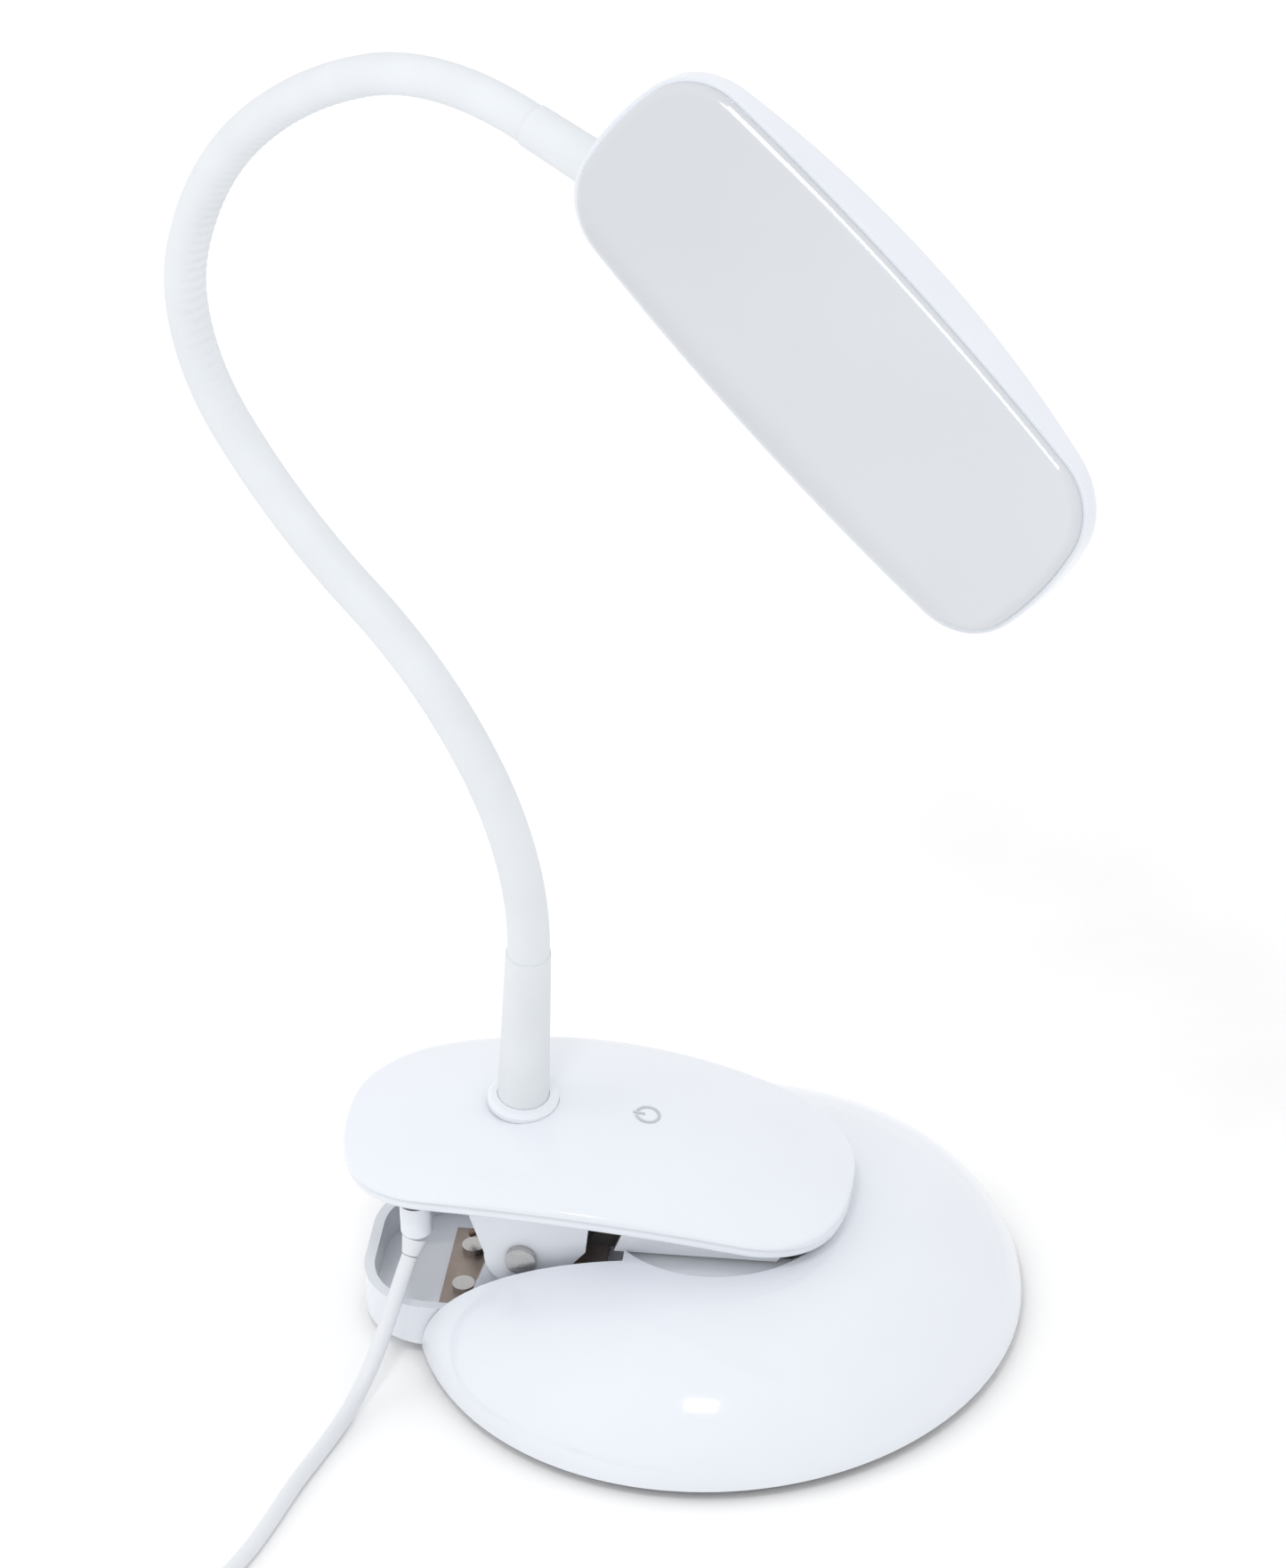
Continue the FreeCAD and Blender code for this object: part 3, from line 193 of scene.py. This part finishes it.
# ---------------------------------------------------------------- the head's own axes
NECK_TURN = math.radians(31)
HEAD_DIP = math.radians(32.2)
HEAD_ROLL = math.radians(114)
HEAD_HALF_LENGTH = 0.0668
HEAD_HALF_WIDTH = 0.0267


def head_axes():
    """The diffuser's middle, and the head's directions to its tip, its upper side and its front."""
    turn = (Matrix.Rotation(-NECK_TURN, 3, "Z") @ Matrix.Rotation(HEAD_DIP, 3, "Y")
            @ Matrix.Rotation(-HEAD_ROLL, 3, "X"))
    low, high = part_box("head_diffuser")
    upper = turn @ Vector((0, 1, 0))
    if upper.z < 0:
        upper.negate()
    return (Vector(low) + Vector(high)) / 2, turn @ Vector((1, 0, 0)), upper, turn @ Vector((0, 0, -1))


# ---------------------------------------------------------------- materials
GLOSS_WHITE = material("gloss white", (0.755, 0.785, 0.84), 0.09, grain=260, bump=0.012, rough_spread=0.02,
                       Coat_Weight=0.4, Coat_Roughness=0.03)
NECK_WHITE = material("silicone white", (0.72, 0.75, 0.78), 0.55, grain=2600, bump=0.12, rough_spread=0.06,
                      shade=0.96, drift=60)
LENS_WHITE = material("diffuser", (0.62, 0.64, 0.675), 0.16, grain=3200, bump=0.006, rough_spread=0.03,
                      shade=0.945, drift=14, Coat_Weight=0.6, Coat_Roughness=0.03)
BLACK_RUBBER = material("black rubber", (0.022, 0.020, 0.020), 0.7, grain=2200, bump=0.3, rough_spread=0.08,
                        shade=0.8)
DARK_PLASTIC = material("dark plastic", (0.05, 0.05, 0.055), 0.48, grain=1800, bump=0.15, shade=0.9)
PALE_SILICONE = material("pale silicone", (0.80, 0.82, 0.85), 0.45, grain=1900, bump=0.12, shade=0.97)
STEEL = material("steel", (0.55, 0.54, 0.53), 0.30, metallic=1.0, grain=900, bump=0.10, rough_spread=0.08,
                 shade=0.88, brushed=(1, 12, 12))
# The brown-dark tones of the bracket and spring steel are partly the metals' own colour and partly painted
# warm shade of the hollow under the arm.
BRACKET_STEEL_AND_PAINTED_SHADE = material("bracket steel and painted shade", (0.36, 0.30, 0.265), 0.38, metallic=0.85, grain=700, bump=0.14,
                         rough_spread=0.10, shade=0.72, drift=120, brushed=(1, 9, 9))
SPRING_STEEL_AND_PAINTED_SHADE = material("spring steel and painted shade", (0.20, 0.155, 0.125), 0.36, metallic=0.9, grain=1500, bump=0.2,
                        rough_spread=0.10, shade=0.7, drift=200)
BOARD = material("circuit board", (0.02, 0.16, 0.07), 0.4, grain=1200, bump=0.2, shade=0.6, drift=420)
LED = material("led phosphor", (0.90, 0.75, 0.30), 0.3, grain=2500, bump=0.1, shade=0.85, drift=500)
CELL = material("cell wrap", (0.08, 0.16, 0.35), 0.35, grain=500, bump=0.2, shade=0.85)
COPPER = material("copper", (0.80, 0.45, 0.28), 0.3, metallic=1.0, grain=1200, bump=0.1, rough_spread=0.08,
                  shade=0.85)
ICON = material("icon grey", (0.53, 0.55, 0.59), 0.5, grain=2500, bump=0.1, shade=0.9, drift=900)
LEAD = material("lead white", (0.73, 0.75, 0.785), 0.38, grain=2200, bump=0.12, rough_spread=0.05, shade=0.97)


PAINTED_SHADE_BAND = 0.010  # width of the painted shade band along the lower edge
# how dark the painted shade gets at the lower edge and at the neck end
PAINTED_EDGE_SHADE = 0.90
PAINTED_NECK_END_SHADE = 0.95


def paint_diffuser_shade():
    """Painted shade on the milky cover: its colour is darker along its lower edge and towards the neck."""
    middle, along, upper, _ = head_axes()
    edge = middle - upper * HEAD_HALF_WIDTH
    paint_shade_along(LENS_WHITE, upper, edge, edge + upper * PAINTED_SHADE_BAND, PAINTED_EDGE_SHADE)
    paint_shade_along(LENS_WHITE, along, middle - along * HEAD_HALF_LENGTH, middle + along * HEAD_HALF_LENGTH,
                PAINTED_NECK_END_SHADE)


# paints shade into the diffuser's colour
paint_diffuser_shade()

NODE_LOOKS = {
    "base_cover": GLOSS_WHITE, "base_bottom_plate": DARK_PLASTIC, "foot_pad": BLACK_RUBBER,
    "ballast_weight": STEEL, "base_screws": STEEL, "lower_jaw_pad": PALE_SILICONE,
    "lower_handle": GLOSS_WHITE, "hinge_bracket": BRACKET_STEEL_AND_PAINTED_SHADE, "bracket_screws": STEEL, "hinge_pin": STEEL,
    "pin_retainer": STEEL, "arm_top_cover": GLOSS_WHITE, "arm_bottom_cover": GLOSS_WHITE,
    "upper_jaw_pad": BLACK_RUBBER, "touch_icon": ICON,
    "touch_electrode": COPPER, "control_board": BOARD, "battery_cell": CELL,
    "charge_socket": DARK_PLASTIC, "arm_screws": STEEL, "neck_collar": GLOSS_WHITE, "neck_nut": STEEL,
    "neck_stud": STEEL, "neck_sleeve_lower": NECK_WHITE, "neck_sleeve_upper": NECK_WHITE,
    "neck_anchor": STEEL, "head_housing": GLOSS_WHITE, "head_diffuser": LENS_WHITE,
    "reflector_frame": GLOSS_WHITE, "led_board": GLOSS_WHITE, "led_chips": LED, "head_screws": STEEL,
    "charge_plug": GLOSS_WHITE, "strain_relief": LEAD, "lead_tie": DARK_PLASTIC,
    "usb_plug_grip": LEAD, "usb_plug_shell": STEEL,
}
for node_name, look in NODE_LOOKS.items():
    dress(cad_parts[node_name], look)


# ---------------------------------------------------------------- charging lead
LEAD_RADIUS = 0.00175
LEAD_ROUTE = millimetres([
    (-61.9, -20.4, 26.2), (-63.2, -22.4, 22.4), (-64.6, -25.2, 18.2), (-66.0, -28.6, 13.9),
    (-67.6, -32.4, 9.6), (-69.3, -36.3, 5.9), (-71.2, -41.4, 3.15), (-73.5, -48.9, 1.75),
    (-76.4, -58.6, 1.75), (-79.8, -69.4, 1.75), (-82.6, -81.2, 1.75), (-85.9, -93.2, 1.75),
    (-90.8, -105.2, 1.95), (-96.9, -117.6, 2.3), (-101.8, -131.0, 2.55), (-102.9, -145.4, 2.55)])
TAIL_ROUTE = millimetres([
    (-78.0, -170.9, 5.4), (-69.6, -172.6, 4.7), (-60.8, -172.6, 4.1), (-52.4, -170.4, 4.0)])
COIL_MIDDLE = Vector((-0.078, -0.146, 0))
COIL_OUTER = 0.0249
COIL_INNER = 0.0146
COIL_LOW = 0.00255
COIL_HIGH = 0.00580
TURNS_IN = 3
TURNS_OUT = 3.25
CLIMB = 0.4  # the part of a turn in which the lead climbs to the upper layer
STEPS_PER_TURN = 16


def coil_route():
    """Three turns inwards on the table, then outwards on top of them, up to a step short of TURNS_OUT."""
    points = []
    for step in range(1, TURNS_IN * STEPS_PER_TURN + 1):
        turned = step / STEPS_PER_TURN
        angle = math.pi + 2 * math.pi * turned
        radius = COIL_OUTER + (COIL_INNER - COIL_OUTER) * turned / TURNS_IN
        points.append((angle, radius, COIL_LOW))
    for step in range(1, int(TURNS_OUT * STEPS_PER_TURN)):
        turned = step / STEPS_PER_TURN
        angle = math.pi + 2 * math.pi * (TURNS_IN + turned)
        radius = COIL_INNER + (COIL_OUTER - COIL_INNER) * turned / TURNS_OUT
        height = COIL_LOW + (COIL_HIGH - COIL_LOW) * min(1, turned / CLIMB)
        points.append((angle, radius, height))
    return [COIL_MIDDLE + Vector((radius * math.cos(angle), radius * math.sin(angle), height))
            for angle, radius, height in points]


def spline_curve(name, points, kind, bevel, bevel_steps):
    """A line of one spline, NURBS or POLY, round in section if it has a bevel."""
    curve = bpy.data.curves.new(name, "CURVE")
    curve.dimensions = "3D"
    spline = curve.splines.new(kind)
    spline.points.add(len(points) - 1)
    for target, point in zip(spline.points, points):
        target.co = (*point, 1)
    if kind == "NURBS":
        spline.order_u = 3
        spline.use_endpoint_u = True
        spline.resolution_u = 6
    curve.bevel_depth = bevel
    curve.bevel_resolution = bevel_steps
    curve.use_fill_caps = True
    return curve


def mesh_of(curve):
    """The mesh that a curve makes; the curve itself is thrown away."""
    carrier = link("carrier", curve)
    bpy.context.view_layer.update()
    mesh = bpy.data.meshes.new_from_object(carrier.evaluated_get(bpy.context.evaluated_depsgraph_get()))
    bpy.data.objects.remove(carrier)
    return mesh


def make_lead():
    """The whole lead, from the strain relief through its coil to the USB plug."""
    route = LEAD_ROUTE + coil_route() + TAIL_ROUTE
    line = mesh_of(spline_curve("lead line", route, "NURBS", 0, 5))
    lead = link("charging_lead", mesh_of(spline_curve("lead tube", route, "NURBS", LEAD_RADIUS, 5)))
    dress(lead, LEAD)
    smooth(lead)
    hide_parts("charge_lead", "lead_coil", "lead_tail")
    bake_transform(lead)


make_lead()


# ---------------------------------------------------------------- torsion spring
SPRING_MEAN = 0.0052
SPRING_WIRE = 0.0008
SPRING_HALF = 0.0072
SPRING_TURNS = 5
STEPS_PER_COIL = 24
UPPER_LEG = (70, 0.021)  # the angle at which the leg leaves the coil, and its length
LOWER_LEG = (-58, 0.022)


def spring_route(pin):
    """From the leg under the arm, round the pin, to the leg on the bracket.

    Each leg leaves the coil at right angles to the radius."""
    def on_coil(degrees, along):
        turn = math.radians(degrees)
        return pin + Vector((SPRING_MEAN * math.cos(turn), along, SPRING_MEAN * math.sin(turn)))

    def leg_tip(degrees, along, heading, length):
        turn = math.radians(heading)
        return on_coil(degrees, along) + Vector((math.cos(turn), 0, math.sin(turn))) * length

    (upper, upper_length), (lower, lower_length) = UPPER_LEG, LOWER_LEG
    sweep = upper - lower + 360 * SPRING_TURNS
    steps = STEPS_PER_COIL * SPRING_TURNS
    points = [leg_tip(upper, -SPRING_HALF, upper + 90, upper_length)]
    for step in range(steps + 1):
        along = SPRING_HALF * (2 * step / steps - 1)
        points.append(on_coil(upper - sweep * step / steps, along))
    points.append(leg_tip(lower, SPRING_HALF, lower - 90, lower_length))
    return points


def make_spring():
    """The wire spring: its upper leg lies under the arm, its lower leg on the bracket, and its coil winds
    round the pin between them.
    """
    low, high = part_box("hinge_pin")
    pin = (Vector(low) + Vector(high)) / 2
    pin.y = 0
    curve = spline_curve("spring line", spring_route(pin), "POLY", SPRING_WIRE, 4)
    spring = link("torsion_spring_wire", mesh_of(curve))
    smooth(spring)
    dress(spring, SPRING_STEEL_AND_PAINTED_SHADE)
    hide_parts("torsion_spring")
    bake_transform(spring)


make_spring()


# ---------------------------------------------------------------- gooseneck
NECK_FOOT = Vector((-0.0398, 0, 0.0537))
NECK_LEAN = math.radians(5.2)
SLEEVE = 0.042
LINK = 0.0454
BENDS = [math.radians(bend) for bend in (-36, -28, 20, 52, 25, 20, 41)]
NECK_RADIUS = 0.0045
RINGS_PER_LINK = 100
SIDES = 40
WRINKLE_PITCH = 0.0030
WRINKLE_DEPTH = 0.00045
WRINKLE_START = 2.9  # where the creases begin and end, in links from the lower sleeve
WRINKLE_END = 6.6
WRINKLE_FOCUS = 2.5  # how closely they keep to the inside of the bend
SLEEVE_OVERLAP = 0.005


def in_plane(forward, up):
    """A vector of the neck's upright plane."""
    return Vector((forward * math.cos(NECK_TURN), -forward * math.sin(NECK_TURN), up))


def neck_heading(angle):
    """The neck's direction at an angle from upright."""
    return in_plane(math.sin(angle), math.cos(angle))


def neck_line():
    """The gooseneck's centreline: (point, angle), ring by ring."""
    angle = NECK_LEAN
    at = NECK_FOOT + neck_heading(angle) * SLEEVE
    line = [(at.copy(), angle)]
    for bend in BENDS:
        radius = LINK / bend
        start, start_angle = at, angle
        for step in range(1, RINGS_PER_LINK + 1):
            angle = start_angle + bend * step / RINGS_PER_LINK
            at = start + in_plane(radius * (math.cos(start_angle) - math.cos(angle)),
                                  radius * (math.sin(angle) - math.sin(start_angle)))
            line.append((at.copy(), angle))
    return line


NECK_LINE = neck_line()


def wrinkle_depth(ring):
    """How deeply the silicone creases on the inside of the bend, by place along the neck."""
    place = ring / RINGS_PER_LINK
    rise = min(1.0, max(0.0, place - WRINKLE_START))
    fall = min(1.0, max(0.0, WRINKLE_END - place))
    return WRINKLE_DEPTH * rise * fall


def ring_points(ring, line_point, angle):
    """One ring of the skin; its inner side is creased where the neck bends forward."""
    side = Vector((math.sin(NECK_TURN), math.cos(NECK_TURN), 0))
    outward = neck_heading(angle - math.pi / 2)
    phase = ring * (LINK / RINGS_PER_LINK) / WRINKLE_PITCH
    crease = 0.5 - 0.5 * math.cos(2 * math.pi * phase)
    points = []
    for index in range(SIDES):
        turn = 2 * math.pi * index / SIDES
        inner = max(0.0, -math.cos(turn)) ** WRINKLE_FOCUS
        radius = NECK_RADIUS - wrinkle_depth(ring) * crease * inner
        points.append(line_point + outward * (radius * math.cos(turn)) + side * (radius * math.sin(turn)))
    return points


def skin(name, first, last, lead_in=0.0, lead_out=0.0):
    """A length of the gooseneck's skin between two rings, with a straight run into a sleeve if asked."""
    points = []
    if lead_in:
        at, angle = NECK_LINE[first]
        points.append(ring_points(0, at - neck_heading(angle) * lead_in, angle))
    for ring in range(first, last + 1):
        points.append(ring_points(ring, *NECK_LINE[ring]))
    if lead_out:
        at, angle = NECK_LINE[last]
        points.append(ring_points(0, at + neck_heading(angle) * lead_out, angle))
    mesh = bpy.data.meshes.new(name)
    faces = []
    for row in range(len(points) - 1):
        for index in range(SIDES):
            after = (index + 1) % SIDES
            faces.append((row * SIDES + index, row * SIDES + after, (row + 1) * SIDES + after,
                          (row + 1) * SIDES + index))
    mesh.from_pydata([point for ring in points for point in ring], [], faces)
    mesh.update()
    piece = link(name, mesh)
    smooth(piece)
    dress(piece, NECK_WHITE)
    return piece


def make_neck():
    """One length of skin over each joint, from the middle of a link to the middle of the next."""
    half = RINGS_PER_LINK // 2
    count = len(BENDS) + 1
    for joint in range(1, count + 1):
        at_joint = (joint - 1) * RINGS_PER_LINK
        first = at_joint if joint == 1 else at_joint - half
        last = at_joint if joint == count else at_joint + half
        piece = skin("neck_skin_%d" % joint, first, last, SLEEVE_OVERLAP if joint == 1 else 0,
                     SLEEVE_OVERLAP if joint == count else 0)
        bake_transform(piece)
        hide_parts("gooseneck_link_%d" % min(joint, len(BENDS)))


make_neck()


# ---------------------------------------------------------------- stage and light
FLOOR_REACH = 12.0
FLOOR_DROP = 0.0002  # keeps the floor clear of the base's underside


def make_floor():
    """A plain pale floor."""
    mesh = bpy.data.meshes.new("floor")
    corners = [(-1, -1), (1, -1), (1, 1), (-1, 1)]
    mesh.from_pydata([(x * FLOOR_REACH, y * FLOOR_REACH, 0) for x, y in corners], [], [(0, 1, 2, 3)])
    floor = link("floor", mesh)
    floor.location.z = -FLOOR_DROP
    dress(floor, material("floor", (0.97, 0.97, 0.97), 0.6, Specular_IOR_Level=0.1))


def area_light(name, place, aim, width, height, power):
    """A rectangular light that the camera doesn't see, turned towards a point."""
    data = bpy.data.lights.new(name, "AREA")
    data.shape = "RECTANGLE"
    data.size = width
    data.size_y = height
    data.energy = power
    lamp = link(name, data)
    lamp.location = place
    lamp.visible_camera = False
    lamp.rotation_euler = (Vector(aim) - Vector(place)).to_track_quat("-Z", "Y").to_euler()
    return lamp


EDGE_ANGLE = math.radians(45)
STRIP_REACH = 0.9
STRIP_WIDTH = 0.30
STRIP_LENGTH = 0.40
STRIP_POWER = 3.5


def head_strip():
    """A light where the diffuser's rounded upper edge mirrors it to the camera; it lights nothing else."""
    middle, along, upper, front = head_axes()
    normal = front * math.cos(EDGE_ANGLE) + upper * math.sin(EDGE_ANGLE)
    toward = (bpy.context.scene.camera.location - middle).normalized()
    mirrored = normal * (2 * normal.dot(toward)) - toward
    strip = area_light("head strip", middle + mirrored * STRIP_REACH, middle, STRIP_WIDTH, STRIP_LENGTH,
                       STRIP_POWER)
    across = (along - mirrored * along.dot(mirrored)).normalized()
    frame_of_strip = Matrix((across, mirrored.cross(across), mirrored)).transposed()
    strip.rotation_euler = frame_of_strip.to_euler()
    strip.visible_diffuse = False
    lit = bpy.data.collections.new("lit by the head strip")
    lit.objects.link(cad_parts["head_diffuser"])
    strip.light_linking.receiver_collection = lit


def make_light():
    """A white surround, a small softbox above the front, a fill from the left and the head's strip."""
    world = bpy.context.scene.world or bpy.data.worlds.new("world")
    bpy.context.scene.world = world
    world.use_nodes = True
    background = world.node_tree.nodes["Background"]
    background.inputs["Color"].default_value = (1, 1, 1, 1)
    background.inputs["Strength"].default_value = 1.0
    area_light("top softbox", (-0.03, -0.60, 1.20), (0, -0.05, 0.02), width=0.16, height=0.13, power=2.2)
    fill = area_light("side fill", (-1.5, -0.4, 0.9), (0, 0, 0.15), width=0.9, height=1.2, power=3)
    fill.visible_glossy = False
    head_strip()
    bpy.context.scene.view_settings.view_transform = "Standard"


make_floor()
make_light()
